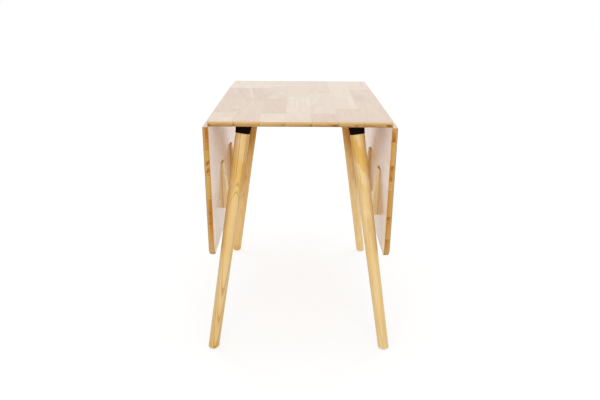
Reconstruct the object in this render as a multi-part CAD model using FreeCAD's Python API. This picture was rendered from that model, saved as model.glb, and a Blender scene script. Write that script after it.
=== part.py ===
import FreeCAD, Part
import math
import os

# Drop-leaf dining table on four splayed, screwed-on legs.
# Frame: origin on the floor under the middle of the top, +X across the leaves,
# +Y along the hinge lines, +Z up.  All sizes are in millimetres.
# The table is modelled with both leaves hanging and the four support bars pushed in.

V = FreeCAD.Vector
UP = V(0, 0, 1)

# ---- top and leaves -------------------------------------------------------
TABLE_HEIGHT = 750.0        # floor to tabletop
BOARD_THICKNESS = 18.0
TOP_WIDTH = 530.0           # middle board, from hinge line to hinge line
TOP_LENGTH = 800.0          # along the hinge lines
LEAF_WIDTH = 407.0          # from its hinge edge to its free edge
LEAF_CORNER_RADIUS = 30.0   # free corners of a leaf, in plan
UPPER_ARRIS = 6.0           # rounding of the upper edges
LOWER_ARRIS = 4.0           # rounding of the lower edges
HINGE_ARRIS = 1.2           # small rounding where top and leaf meet
HANG_LEAN = 0.5             # degrees that a leaf hangs past vertical, inwards

# ---- hinges ---------------------------------------------------------------
HINGE_RISE = 2.0            # hinge axis above the underside
LEAF_EDGE_GAP = 3.0         # hinge axis to the leaf's edge
HINGE_LENGTH = 76.0
HINGE_INSET = 185.0         # hinge centre from the end of the boards
PLATE_WIDTH = 28.0
PLATE_THICKNESS = 1.5
KNUCKLE_RADIUS = 2.6
KNUCKLE_COUNT = 5
KNUCKLE_GAP = 0.3
PIN_RADIUS = 1.3
PIN_CLEARANCE = 0.05        # running fit in the leaf's knuckles
NOTCH_CLEARANCE = 0.6       # wood around the barrel
HINGE_SCREW_COUNT = 3
HINGE_SCREW_PITCH = 26.0

# ---- wedge blocks on the leaves -------------------------------------------
WEDGE_START = 182.0         # hinge axis to the thin end
WEDGE_LENGTH = 157.0
WEDGE_WIDTH = 45.0
WEDGE_TIP = 4.0             # thickness at the thin end
WEDGE_HEEL = 22.0           # thickness at the square end
WEDGE_SCREW_INSET = 42.0    # screw from either end of the block
WEDGE_SCREW_GRIP = 4.5      # block thickness left under a screw head

# ---- support bars and their guides ----------------------------------------
BAR_LENGTH = 380.0
BAR_HEIGHT = 24.0
BAR_TAIL_GAP = 8.0          # tail of a pushed-in bar to the opposite, hanging leaf
BAR_REACH = 215.0           # nose past the hinge axis at full pull, with the leaf raised
PAIR_OFFSET = 59.0          # right leaf's bars lie this much nearer the front than the left leaf's
SOCKET_GAP = 12.6           # outermost guide rail to the leg socket's flange
RUNNING_GAP = 0.4           # bar to guide, on each side
NOSE_CHAMFER = 7.0
GRIP_RADIUS = 14.0          # finger scoop under the nose
GRIP_DEPTH = 7.0
GRIP_INSET = 38.0
GUIDE_BOARD_THICKNESS = 6.0
GUIDE_INSET = 40.0          # guide's end from the hinge line
OUTER_RAIL_WIDTH = 14.0
STRAP_WIDTH = 25.0
STRAP_THICKNESS = 2.5
STRAP_INSET = 25.0          # strap's middle from the guide's end
PEG_RADIUS = 3.0
PEG_INSET = 40.0            # stop peg from the bar's tail
PEG_DEPTH = 14.0            # peg inside the bar
PEG_STAND = 4.6             # peg above the bar
PEG_SIDE_GAP = 0.5
RAIL_SCREW_COUNT = 3
RAIL_SCREW_PITCH = 130.0
RAIL_SCREW_BITE = 12.0      # rail screw inside the top
STRAP_SCREW_BITE = 14.0

# ---- legs and sockets -----------------------------------------------------
SEAT_INSET_X = 96.5         # leg axis at the underside, from the hinge line
SEAT_INSET_Y = 123.0        # leg axis at the underside, from the end of the top
SPLAY_X = 108.5             # how far the axis leans out down to the floor
SPLAY_Y = 113.0
LEG_TOP_RADIUS = 22.0       # at the socket's rim
LEG_FOOT_RADIUS = 17.0      # at the floor
SPIGOT_RADIUS = 20.5
SPIGOT_DEPTH = 8.0
FOOT_CHAMFER = 3.5
SOCKET_LENGTH = 46.0        # along the leg's axis, underside to rim
SOCKET_TOP_RADIUS = 26.6
SOCKET_RIM_RADIUS = 22.6
FLANGE_RADIUS = 42.0
FLANGE_THICKNESS = 5.0
FLANGE_ARRIS = 1.5
FLANGE_SCREW_CIRCLE = 35.0
FLANGE_SCREW_COUNT = 4
LEG_BOLT_RADIUS = 4.0
LEG_BOLT_UP = 25.0          # bolt inside the socket
LEG_BOLT_DOWN = 40.0        # bolt inside the leg
PAD_RADIUS = 12.0
PAD_THICKNESS = 3.0
PAD_RECESS = 1.0

# ---- fasteners ------------------------------------------------------------
SCREW_RADIUS = 1.75
SCREW_HEAD_RADIUS = 3.5
SCREW_HEAD_HEIGHT = 2.0
SCREW_BITE = 12.0           # ordinary screw inside a board
RECESS_WIDTH = 0.9
RECESS_DEPTH = 1.1
COUNTERBORE_RADIUS = 4.2
OVERCUT = 1.0               # how far a cutting tool runs past a face

# ---- worked-out places ----------------------------------------------------
UNDERSIDE = TABLE_HEIGHT - BOARD_THICKNESS
HINGE_X = TOP_WIDTH / 2
HINGE_Z = UNDERSIDE + HINGE_RISE
HINGE_STATION = TOP_LENGTH / 2 - HINGE_INSET
PLATE_EDGE = max(LEAF_EDGE_GAP, KNUCKLE_RADIUS + KNUCKLE_GAP)
BAR_WIDTH = WEDGE_WIDTH
BAR_TAIL = -(HINGE_X - HINGE_RISE - BAR_TAIL_GAP)
BAR_NOSE = BAR_TAIL + BAR_LENGTH
BAR_TRAVEL = HINGE_X + BAR_REACH - BAR_NOSE
PEG_X = BAR_TAIL + PEG_INSET
GUIDE_LENGTH = TOP_WIDTH - 2 * GUIDE_INSET
STRAP_STATION = GUIDE_LENGTH / 2 - STRAP_INSET
BAR_TOP = UNDERSIDE - GUIDE_BOARD_THICKNESS - RUNNING_GAP
BAR_BOTTOM = BAR_TOP - BAR_HEIGHT
RAIL_BOTTOM = BAR_BOTTOM - RUNNING_GAP
SCREW_REACH = PLATE_THICKNESS + SCREW_BITE
SEAT_X = HINGE_X - SEAT_INSET_X
SEAT_Y = TOP_LENGTH / 2 - SEAT_INSET_Y
FOOT_X = SEAT_X + SPLAY_X
FOOT_Y = SEAT_Y + SPLAY_Y
OUTERMOST_RAIL = SEAT_Y - FLANGE_RADIUS - SOCKET_GAP
OUTERMOST_BAR = OUTERMOST_RAIL - OUTER_RAIL_WIDTH - RUNNING_GAP - BAR_WIDTH / 2
BAR_SPACING = 2 * (OUTERMOST_BAR - PAIR_OFFSET)
SIDES = {"left": -1, "right": 1}
ENDS = {"front": -1, "rear": 1}
PAIR_SHIFT = {"left": 0.0, "right": -PAIR_OFFSET}


# ---- helpers --------------------------------------------------------------
def block(low, high):
    """Box between two opposite corners, given as (x, y, z)."""
    size = [b - a for a, b in zip(low, high)]
    return Part.makeBox(size[0], size[1], size[2], V(*low))


def rod(radius, start, end):
    """Cylinder from one point to another."""
    axis = end - start
    return Part.makeCylinder(radius, axis.Length, start, axis)


def mirrored(shape, flip_x, flip_y):
    """Copy of a right, rear shape on the side and end asked for."""
    if flip_x:
        shape = shape.mirror(V(0, 0, 0), V(1, 0, 0))
    if flip_y:
        shape = shape.mirror(V(0, 0, 0), V(0, 1, 0))
    return shape


def on_side(shape, side):
    return mirrored(shape, SIDES[side] < 0, False)


def hang(shape):
    """Swing a right-hand leaf piece from level down to its hanging place."""
    hung = shape.copy()
    hung.rotate(V(HINGE_X, 0, HINGE_Z), V(0, 1, 0), 90 + HANG_LEAN)
    return hung


def spread(count, pitch):
    """Offsets of evenly pitched pieces about their middle."""
    return [(i - (count - 1) / 2) * pitch for i in range(count)]


def screw_blank(place, reach):
    """Countersunk screw pointing up from the surface at place, without its drive recess."""
    shank_start = place + UP * SCREW_HEAD_HEIGHT
    head = Part.makeCone(SCREW_HEAD_RADIUS, SCREW_RADIUS, SCREW_HEAD_HEIGHT, place, UP)
    return head.fuse(rod(SCREW_RADIUS, shank_start, place + UP * reach)).removeSplitter()


def screw(place, reach):
    """Screw blank with a cross recess in its head."""
    half = SCREW_HEAD_RADIUS * 0.6
    arm = RECESS_WIDTH / 2
    along_x = block((-half, -arm, 0), (half, arm, RECESS_DEPTH))
    along_y = block((-arm, -half, 0), (arm, half, RECESS_DEPTH))
    cross = along_x.fuse(along_y)
    cross.translate(place)
    return screw_blank(place, reach).cut(cross)


def group(shapes):
    return Part.makeCompound(shapes)


def edges_at(shape, test):
    return [e for e in shape.Edges if test(e.BoundBox)]


def near(a, b):
    return abs(a - b) < 1e-4


# ---- where the fasteners go (right-hand side, leaf level) -----------------
def hinge_stations():
    return [ENDS[end] * HINGE_STATION for end in ENDS]


def plate_screw_places(inner_x, station):
    """Screw places in a hinge plate that starts at inner_x, in two staggered rows."""
    places = []
    for i, offset in enumerate(spread(HINGE_SCREW_COUNT, HINGE_SCREW_PITCH)):
        row = (1 + i % 2) * PLATE_WIDTH / 3
        places.append(V(inner_x + row, station + offset, UNDERSIDE))
    return places


def top_plate_screws(station):
    return plate_screw_places(HINGE_X - PLATE_EDGE - PLATE_WIDTH, station)


def leaf_plate_screws(station):
    return plate_screw_places(HINGE_X + PLATE_EDGE, station)


def bar_line(side, end):
    """Y of a bar's middle line, and of the wedge block that it meets."""
    return PAIR_SHIFT[side] + ENDS[end] * BAR_SPACING / 2


def wedge_bottom(distance):
    """Z of a level wedge block's sloping face, at a distance from the hinge axis."""
    share = (distance - WEDGE_START) / WEDGE_LENGTH
    return UNDERSIDE - WEDGE_TIP - (WEDGE_HEEL - WEDGE_TIP) * share


def wedge_screw_places(side, end):
    y = bar_line(side, end)
    z = UNDERSIDE - WEDGE_SCREW_GRIP
    distances = (WEDGE_START + WEDGE_SCREW_INSET, WEDGE_START + WEDGE_LENGTH - WEDGE_SCREW_INSET)
    return [V(HINGE_X + d, y, z) for d in distances]


def rail_lines(end):
    """Low and high Y of the three rails that flank the two bars of one guide."""
    lines = sorted(bar_line(side, end) for side in SIDES)
    reach = BAR_WIDTH / 2 + RUNNING_GAP
    outer = (lines[0] - reach - OUTER_RAIL_WIDTH, lines[0] - reach)
    middle = (lines[0] + reach, lines[1] - reach)
    inner = (lines[1] + reach, lines[1] + reach + OUTER_RAIL_WIDTH)
    return {"outer": outer, "middle": middle, "inner": inner}


def rail_screw_places(end):
    places = []
    for low, high in rail_lines(end).values():
        for x in spread(RAIL_SCREW_COUNT, RAIL_SCREW_PITCH):
            places.append(V(x, (low + high) / 2, RAIL_BOTTOM))
    return places


def rail_screw_reach():
    return UNDERSIDE - RAIL_BOTTOM + RAIL_SCREW_BITE


def strap_screw_places(side, end):
    x = SIDES[side] * STRAP_STATION
    z = RAIL_BOTTOM - STRAP_THICKNESS
    return [V(x, (low + high) / 2, z) for low, high in rail_lines(end).values()]


def flange_screw_places():
    """Screws through the right, rear socket's flange."""
    places = []
    for i in range(FLANGE_SCREW_COUNT):
        angle = 2 * math.pi * (i + 0.5) / FLANGE_SCREW_COUNT
        x = SEAT_X + FLANGE_SCREW_CIRCLE * math.cos(angle)
        y = SEAT_Y + FLANGE_SCREW_CIRCLE * math.sin(angle)
        places.append(V(x, y, UNDERSIDE - FLANGE_THICKNESS))
    return places


# ---- boards ---------------------------------------------------------------
def hinge_pocket(station, inner_x, outer_x):
    """Mortise for one hinge plate in the underside."""
    half = HINGE_LENGTH / 2
    low = (inner_x, station - half, UNDERSIDE)
    high = (outer_x, station + half, UNDERSIDE + PLATE_THICKNESS)
    return block(low, high)


def knuckle_notch(station):
    """Room for the barrel in the top's edge."""
    half = HINGE_LENGTH / 2 + KNUCKLE_GAP
    reach = KNUCKLE_RADIUS + NOTCH_CLEARANCE
    low = (HINGE_X - reach, station - half, UNDERSIDE)
    high = (HINGE_X + reach, station + half, HINGE_Z + reach)
    return block(low, high)


def top_board():
    half_x = TOP_WIDTH / 2
    half_y = TOP_LENGTH / 2
    board = block((-half_x, -half_y, UNDERSIDE), (half_x, half_y, TABLE_HEIGHT))
    for z, radius in ((TABLE_HEIGHT, UPPER_ARRIS), (UNDERSIDE, LOWER_ARRIS)):
        ends = edges_at(board, lambda b: near(b.ZMin, z) and near(b.ZMax, z)
                        and near(b.YMin, b.YMax) and near(abs(b.YMin), half_y))
        board = board.makeFillet(radius, ends)
    sides = edges_at(board, lambda b: near(b.XMin, b.XMax) and near(abs(b.XMin), half_x))
    board = board.makeFillet(HINGE_ARRIS, sides)
    cuts = []
    for station in hinge_stations():
        for side in SIDES:
            inner = HINGE_X - PLATE_EDGE - PLATE_WIDTH
            cuts.append(on_side(hinge_pocket(station, inner, HINGE_X), side))
            cuts.append(on_side(knuckle_notch(station), side))
            for place in top_plate_screws(station):
                cuts.append(on_side(screw_blank(place, SCREW_REACH), side))
    for side in SIDES:
        for end in ENDS:
            for place in flange_screw_places():
                blank = screw_blank(place, FLANGE_THICKNESS + SCREW_BITE)
                cuts.append(mirrored(blank, SIDES[side] < 0, ENDS[end] < 0))
    for end in ENDS:
        for place in rail_screw_places(end):
            cuts.append(screw_blank(place, rail_screw_reach()))
    return board.cut(cuts)


def leaf_outline():
    """Plan of a level right-hand leaf, with its two free corners rounded."""
    near_x = HINGE_X + LEAF_EDGE_GAP
    far_x = near_x + LEAF_WIDTH
    half_y = TOP_LENGTH / 2
    r = LEAF_CORNER_RADIUS
    bulge = r * (1 - math.sqrt(0.5))
    z = UNDERSIDE
    edges = [
        Part.LineSegment(V(near_x, half_y, z), V(near_x, -half_y, z)),
        Part.LineSegment(V(near_x, -half_y, z), V(far_x - r, -half_y, z)),
        Part.Arc(V(far_x - r, -half_y, z), V(far_x - bulge, -half_y + bulge, z), V(far_x, -half_y + r, z)),
        Part.LineSegment(V(far_x, -half_y + r, z), V(far_x, half_y - r, z)),
        Part.Arc(V(far_x, half_y - r, z), V(far_x - bulge, half_y - bulge, z), V(far_x - r, half_y, z)),
        Part.LineSegment(V(far_x - r, half_y, z), V(near_x, half_y, z)),
    ]
    return Part.Wire([e.toShape() for e in edges])


def leaf_board(side):
    near_x = HINGE_X + LEAF_EDGE_GAP
    leaf = Part.Face(leaf_outline()).extrude(UP * BOARD_THICKNESS)
    for z, radius in ((TABLE_HEIGHT, UPPER_ARRIS), (UNDERSIDE, LOWER_ARRIS)):
        rim = edges_at(leaf, lambda b: near(b.ZMin, z) and near(b.ZMax, z)
                       and b.XMax > near_x + OVERCUT)
        leaf = leaf.makeFillet(radius, rim)
    hinge_side = edges_at(leaf, lambda b: near(b.XMin, b.XMax) and near(b.XMin, near_x))
    leaf = leaf.makeFillet(HINGE_ARRIS, hinge_side)
    cuts = []
    for station in hinge_stations():
        cuts.append(hinge_pocket(station, HINGE_X, HINGE_X + PLATE_EDGE + PLATE_WIDTH))
        for place in leaf_plate_screws(station):
            cuts.append(screw_blank(place, SCREW_REACH))
    for end in ENDS:
        for place in wedge_screw_places(side, end):
            cuts.append(screw_blank(place, WEDGE_SCREW_GRIP + SCREW_BITE))
    return on_side(hang(leaf.cut(cuts)), side)


# ---- hinges ---------------------------------------------------------------
def knuckle_spans(station):
    """Low and high Y of each knuckle along one hinge."""
    step = HINGE_LENGTH / KNUCKLE_COUNT
    start = station - HINGE_LENGTH / 2
    trim = KNUCKLE_GAP / 2
    return [(start + i * step + trim, start + (i + 1) * step - trim) for i in range(KNUCKLE_COUNT)]


def hinge_plate(station, direction, first_knuckle, bore_radius, screw_places):
    """Flap with every second knuckle; direction is -1 on the top, 1 on the leaf."""
    half = HINGE_LENGTH / 2
    xs = sorted((HINGE_X + direction * PLATE_EDGE, HINGE_X + direction * (PLATE_EDGE + PLATE_WIDTH)))
    plate = block((xs[0], station - half, UNDERSIDE), (xs[1], station + half, UNDERSIDE + PLATE_THICKNESS))
    web_xs = sorted((HINGE_X, HINGE_X + direction * PLATE_EDGE))
    pieces = []
    for low, high in knuckle_spans(station)[first_knuckle::2]:
        pieces.append(rod(KNUCKLE_RADIUS, V(HINGE_X, low, HINGE_Z), V(HINGE_X, high, HINGE_Z)))
        pieces.append(block((web_xs[0], low, UNDERSIDE), (web_xs[1], high, UNDERSIDE + PLATE_THICKNESS)))
    plate = plate.fuse(pieces).removeSplitter()
    reach = half + OVERCUT
    bore = rod(bore_radius, V(HINGE_X, station - reach, HINGE_Z), V(HINGE_X, station + reach, HINGE_Z))
    return plate.cut([bore] + [screw_blank(place, SCREW_REACH) for place in screw_places])


def hinge_top_plate(station):
    return hinge_plate(station, -1, 0, PIN_RADIUS, top_plate_screws(station))


def hinge_leaf_plate(station):
    return hang(hinge_plate(station, 1, 1, PIN_RADIUS + PIN_CLEARANCE, leaf_plate_screws(station)))


def hinge_pin(station):
    half = HINGE_LENGTH / 2
    return rod(PIN_RADIUS, V(HINGE_X, station - half, HINGE_Z), V(HINGE_X, station + half, HINGE_Z))


# ---- wedge blocks ---------------------------------------------------------
def wedge_block(side, end):
    """Ramp glued and screwed under a leaf, thin end towards the hinge."""
    y = bar_line(side, end) - WEDGE_WIDTH / 2
    start = HINGE_X + WEDGE_START
    stop = start + WEDGE_LENGTH
    corners = [
        V(start, y, UNDERSIDE),
        V(stop, y, UNDERSIDE),
        V(stop, y, wedge_bottom(WEDGE_START + WEDGE_LENGTH)),
        V(start, y, wedge_bottom(WEDGE_START)),
    ]
    wedge = Part.Face(Part.makePolygon(corners + corners[:1])).extrude(V(0, WEDGE_WIDTH, 0))
    cuts = []
    for place in wedge_screw_places(side, end):
        cuts.append(screw_blank(place, WEDGE_SCREW_GRIP + SCREW_BITE))
        cuts.append(rod(COUNTERBORE_RADIUS, place - UP * WEDGE_HEEL, place))
    return on_side(hang(wedge.cut(cuts)), side)


# ---- support bars and guides ----------------------------------------------
def support_bar(side, end):
    """Pull-out bar, with a chamfered nose, a finger scoop and a peg hole."""
    y = bar_line(side, end)
    half = BAR_WIDTH / 2
    bar = block((BAR_TAIL, y - half, BAR_BOTTOM), (BAR_NOSE, y + half, BAR_TOP))
    nose_edge = edges_at(bar, lambda b: near(b.XMin, BAR_NOSE) and near(b.ZMin, BAR_TOP))
    bar = bar.makeChamfer(NOSE_CHAMFER, nose_edge)
    scoop_x = BAR_NOSE - GRIP_INSET
    scoop_z = BAR_BOTTOM + GRIP_DEPTH - GRIP_RADIUS
    scoop = rod(GRIP_RADIUS, V(scoop_x, y - half, scoop_z), V(scoop_x, y + half, scoop_z))
    peg_hole = rod(PEG_RADIUS, V(PEG_X, y, BAR_TOP - PEG_DEPTH), V(PEG_X, y, BAR_TOP))
    return on_side(bar.cut([scoop, peg_hole]), side)


def bar_peg(side, end):
    y = bar_line(side, end)
    peg = rod(PEG_RADIUS, V(PEG_X, y, BAR_TOP - PEG_DEPTH), V(PEG_X, y, BAR_TOP + PEG_STAND))
    return on_side(peg, side)


def peg_slot(side, end):
    """Slot in the guide board that stops a bar's peg at both ends of its travel."""
    y = bar_line(side, end)
    radius = PEG_RADIUS + PEG_SIDE_GAP
    stop = PEG_X + BAR_TRAVEL
    low = UNDERSIDE - GUIDE_BOARD_THICKNESS
    slot = block((PEG_X, y - radius, low), (stop, y + radius, UNDERSIDE))
    caps = [rod(radius, V(x, y, low), V(x, y, UNDERSIDE)) for x in (PEG_X, stop)]
    return on_side(slot.fuse(caps).removeSplitter(), side)


def guide_board(end):
    """Thin board between the top and the bars, screwed up together with the rails."""
    rails = rail_lines(end)
    low = (-GUIDE_LENGTH / 2, rails["outer"][0], UNDERSIDE - GUIDE_BOARD_THICKNESS)
    high = (GUIDE_LENGTH / 2, rails["inner"][1], UNDERSIDE)
    cuts = [peg_slot(side, end) for side in SIDES]
    cuts += [screw_blank(place, rail_screw_reach()) for place in rail_screw_places(end)]
    return block(low, high).cut(cuts)


def guide_rail(end, which):
    low_y, high_y = rail_lines(end)[which]
    top = UNDERSIDE - GUIDE_BOARD_THICKNESS
    rail = block((-GUIDE_LENGTH / 2, low_y, RAIL_BOTTOM), (GUIDE_LENGTH / 2, high_y, top))
    cuts = [screw_blank(place, rail_screw_reach()) for place in rail_screw_places(end)]
    for side in SIDES:
        for place in strap_screw_places(side, end):
            cuts.append(screw_blank(place, STRAP_THICKNESS + STRAP_SCREW_BITE))
    return rail.cut(cuts)


def keeper_strap(side, end):
    """Steel strap under both bars of a guide, near one end of it."""
    rails = rail_lines(end)
    x = SIDES[side] * STRAP_STATION
    half = STRAP_WIDTH / 2
    low = (x - half, rails["outer"][0], RAIL_BOTTOM - STRAP_THICKNESS)
    high = (x + half, rails["inner"][1], RAIL_BOTTOM)
    reach = STRAP_THICKNESS + STRAP_SCREW_BITE
    return block(low, high).cut([screw_blank(place, reach) for place in strap_screw_places(side, end)])


# ---- legs (modelled at the right, rear corner) ----------------------------
SEAT = V(SEAT_X, SEAT_Y, UNDERSIDE)
FLOOR_POINT = V(FOOT_X, FOOT_Y, 0)
LEG_AXIS = (FLOOR_POINT - SEAT).normalize()
LEG_RUN = (FLOOR_POINT - SEAT).Length
FOOT_Z = PAD_THICKNESS - PAD_RECESS


def along(distance):
    """Point on the leg's axis, at a distance below the underside of the top."""
    return SEAT + LEG_AXIS * distance


def socket_radius(distance):
    return SOCKET_TOP_RADIUS + (SOCKET_RIM_RADIUS - SOCKET_TOP_RADIUS) * distance / SOCKET_LENGTH


def leg_socket():
    """Flange and tilted collar in one casting, with a cup for the leg and a bolt hole."""
    rise = SOCKET_TOP_RADIUS
    collar = Part.makeCone(socket_radius(-rise), SOCKET_RIM_RADIUS, SOCKET_LENGTH + rise, along(-rise), LEG_AXIS)
    flange = rod(FLANGE_RADIUS, SEAT - UP * FLANGE_THICKNESS, SEAT)
    flange_foot = UNDERSIDE - FLANGE_THICKNESS
    rim = edges_at(flange, lambda b: near(b.ZMin, flange_foot) and near(b.ZMax, flange_foot))
    flange = flange.makeFillet(FLANGE_ARRIS, rim)
    reach = 2 * FLANGE_RADIUS
    above = block((SEAT_X - reach, SEAT_Y - reach, UNDERSIDE),
                  (SEAT_X + reach, SEAT_Y + reach, UNDERSIDE + reach))
    casting = collar.cut(above).fuse(flange).removeSplitter()
    cuts = [
        rod(SPIGOT_RADIUS, along(SOCKET_LENGTH - SPIGOT_DEPTH), along(SOCKET_LENGTH + OVERCUT)),
        rod(LEG_BOLT_RADIUS, along(SOCKET_LENGTH - SPIGOT_DEPTH - LEG_BOLT_UP), along(SOCKET_LENGTH)),
    ]
    cuts += [screw_blank(place, FLANGE_THICKNESS + SCREW_BITE) for place in flange_screw_places()]
    return casting.cut(cuts)


def foot_centre():
    return along(LEG_RUN * (UNDERSIDE - FOOT_Z) / UNDERSIDE)


def leg():
    """Tapered round leg: spigot in the socket's cup, foot cut level with the floor."""
    overrun = 2 * LEG_FOOT_RADIUS
    slope = (LEG_FOOT_RADIUS - LEG_TOP_RADIUS) / (LEG_RUN - SOCKET_LENGTH)
    end_radius = LEG_FOOT_RADIUS + slope * overrun
    length = LEG_RUN - SOCKET_LENGTH + overrun
    shaft = Part.makeCone(LEG_TOP_RADIUS, end_radius, length, along(SOCKET_LENGTH), LEG_AXIS)
    reach = 3 * LEG_FOOT_RADIUS + overrun
    below = block((FOOT_X - reach, FOOT_Y - reach, FOOT_Z - reach), (FOOT_X + reach, FOOT_Y + reach, FOOT_Z))
    shaft = shaft.cut(below)
    rim = edges_at(shaft, lambda b: near(b.ZMin, FOOT_Z) and near(b.ZMax, FOOT_Z))
    shaft = shaft.makeChamfer(FOOT_CHAMFER, rim)
    spigot = rod(SPIGOT_RADIUS, along(SOCKET_LENGTH - SPIGOT_DEPTH), along(SOCKET_LENGTH))
    bolt_start = SOCKET_LENGTH - SPIGOT_DEPTH
    bolt_hole = rod(LEG_BOLT_RADIUS, along(bolt_start), along(bolt_start + LEG_BOLT_DOWN))
    recess = rod(PAD_RADIUS, foot_centre(), foot_centre() + UP * PAD_RECESS)
    return shaft.fuse(spigot).removeSplitter().cut([bolt_hole, recess])


def leg_bolt():
    middle = SOCKET_LENGTH - SPIGOT_DEPTH
    return rod(LEG_BOLT_RADIUS, along(middle - LEG_BOLT_UP), along(middle + LEG_BOLT_DOWN))


def foot_pad():
    base = foot_centre() - UP * FOOT_Z
    return rod(PAD_RADIUS, base, base + UP * PAD_THICKNESS)


# ---- the whole table ------------------------------------------------------
def leg_nodes():
    nodes = {}
    bolts = []
    screws = []
    pieces = {"leg": leg(), "leg_socket": leg_socket(), "foot_pad": foot_pad()}
    for end in ENDS:
        for side in SIDES:
            flips = (SIDES[side] < 0, ENDS[end] < 0)
            for name, shape in pieces.items():
                nodes[f"{name}_{end}_{side}"] = mirrored(shape, *flips)
            bolts.append(mirrored(leg_bolt(), *flips))
            for place in flange_screw_places():
                screws.append(mirrored(screw(place, FLANGE_THICKNESS + SCREW_BITE), *flips))
    nodes["leg_bolts"] = group(bolts)
    nodes["socket_screws"] = group(screws)
    return nodes


def hinge_nodes():
    nodes = {}
    pins = []
    top_screws = []
    for side in SIDES:
        leaf_screws = []
        for end in ENDS:
            station = ENDS[end] * HINGE_STATION
            nodes[f"hinge_top_plate_{end}_{side}"] = on_side(hinge_top_plate(station), side)
            nodes[f"hinge_leaf_plate_{end}_{side}"] = on_side(hinge_leaf_plate(station), side)
            pins.append(on_side(hinge_pin(station), side))
            top_screws += [on_side(screw(p, SCREW_REACH), side) for p in top_plate_screws(station)]
            leaf_screws += [on_side(hang(screw(p, SCREW_REACH)), side) for p in leaf_plate_screws(station)]
        nodes[f"hinge_leaf_screws_{side}"] = group(leaf_screws)
    nodes["hinge_pins"] = group(pins)
    nodes["hinge_top_screws"] = group(top_screws)
    return nodes


def wedge_nodes():
    nodes = {}
    for side in SIDES:
        screws = []
        for end in ENDS:
            nodes[f"wedge_block_{end}_{side}"] = wedge_block(side, end)
            for place in wedge_screw_places(side, end):
                screws.append(on_side(hang(screw(place, WEDGE_SCREW_GRIP + SCREW_BITE)), side))
        nodes[f"wedge_screws_{side}"] = group(screws)
    return nodes


def guide_nodes():
    nodes = {}
    rail_screws = []
    strap_screws = []
    for end in ENDS:
        nodes[f"guide_board_{end}"] = guide_board(end)
        for which in rail_lines(end):
            nodes[f"guide_rail_{end}_{which}"] = guide_rail(end, which)
        rail_screws += [screw(place, rail_screw_reach()) for place in rail_screw_places(end)]
        for side in SIDES:
            nodes[f"support_bar_{end}_{side}"] = support_bar(side, end)
            nodes[f"bar_peg_{end}_{side}"] = bar_peg(side, end)
            nodes[f"keeper_strap_{end}_{side}"] = keeper_strap(side, end)
            for place in strap_screw_places(side, end):
                strap_screws.append(screw(place, STRAP_THICKNESS + STRAP_SCREW_BITE))
    nodes["guide_rail_screws"] = group(rail_screws)
    nodes["keeper_strap_screws"] = group(strap_screws)
    return nodes


def all_nodes():
    nodes = {"top_board": top_board()}
    for side in SIDES:
        nodes[f"leaf_{side}"] = leaf_board(side)
    nodes.update(hinge_nodes())
    nodes.update(wedge_nodes())
    nodes.update(guide_nodes())
    nodes.update(leg_nodes())
    return nodes


os.makedirs("parts", exist_ok=True)
for node_name, node_shape in all_nodes().items():
    node_shape.exportStep(f"parts/{node_name}.step")
    print(node_name, len(node_shape.Solids), round(node_shape.Volume / 1000, 2), "cm3", node_shape.isValid())
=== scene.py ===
from collections import namedtuple
import math

import bpy
from mathutils import Matrix, Vector

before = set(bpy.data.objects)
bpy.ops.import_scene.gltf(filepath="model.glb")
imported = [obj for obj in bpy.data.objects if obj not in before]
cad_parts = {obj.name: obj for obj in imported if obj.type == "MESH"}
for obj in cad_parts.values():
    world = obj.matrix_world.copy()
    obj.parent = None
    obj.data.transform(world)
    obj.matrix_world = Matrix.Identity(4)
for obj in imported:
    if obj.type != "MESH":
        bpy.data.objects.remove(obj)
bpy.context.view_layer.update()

ENDS = ("front", "rear")
SIDES = ("left", "right")
SIGNS = {"front": -1, "rear": 1, "left": -1, "right": 1}
MM = 0.001


def srgb(red, green, blue):
    """Linear colour from 0-255 display values."""
    channels = []
    for value in (red, green, blue):
        v = value / 255
        channels.append(v / 12.92 if v <= 0.04045 else ((v + 0.055) / 1.055) ** 2.4)
    return (*channels, 1.0)


def grey(value):
    return (value, value, value, 1.0)


# ---- camera ---------------------------------------------------------------
PHOTO_WIDTH = 600                           # pixels
FOCAL_LENGTH = 601.8                        # in pixels of the 600 pixel wide frame
SENSOR_WIDTH = 36.0                         # mm
CLIP_END = 50.0                             # m
CAMERA_PLACE = (-0.0070, -2.0864, 1.1026)   # m
CAMERA_PITCH = math.radians(19.281)         # looking down
CAMERA_ROLL = math.radians(0.442)
CAMERA_YAW = math.radians(0.265)


def make_camera():
    data = bpy.data.cameras.new("camera")
    data.sensor_width = SENSOR_WIDTH
    data.lens = FOCAL_LENGTH * SENSOR_WIDTH / PHOTO_WIDTH
    data.clip_end = CLIP_END
    camera = bpy.data.objects.new("camera", data)
    ahead = Vector((math.sin(CAMERA_YAW) * math.cos(CAMERA_PITCH),
                    math.cos(CAMERA_YAW) * math.cos(CAMERA_PITCH),
                    -math.sin(CAMERA_PITCH)))
    level_right = Vector((math.cos(CAMERA_YAW), -math.sin(CAMERA_YAW), 0))
    level_up = level_right.cross(ahead)
    right = level_right * math.cos(CAMERA_ROLL) + level_up * math.sin(CAMERA_ROLL)
    up = level_up * math.cos(CAMERA_ROLL) - level_right * math.sin(CAMERA_ROLL)
    turn = Matrix((right, up, -ahead)).transposed()
    camera.matrix_world = Matrix.Translation(CAMERA_PLACE) @ turn.to_4x4()
    bpy.context.scene.collection.objects.link(camera)
    bpy.context.scene.camera = camera


# ---- node helper ----------------------------------------------------------
# A noise: how fast it changes with each of its three values, its detail and its roughness.
Noise = namedtuple("Noise", "rates detail roughness")


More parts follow.
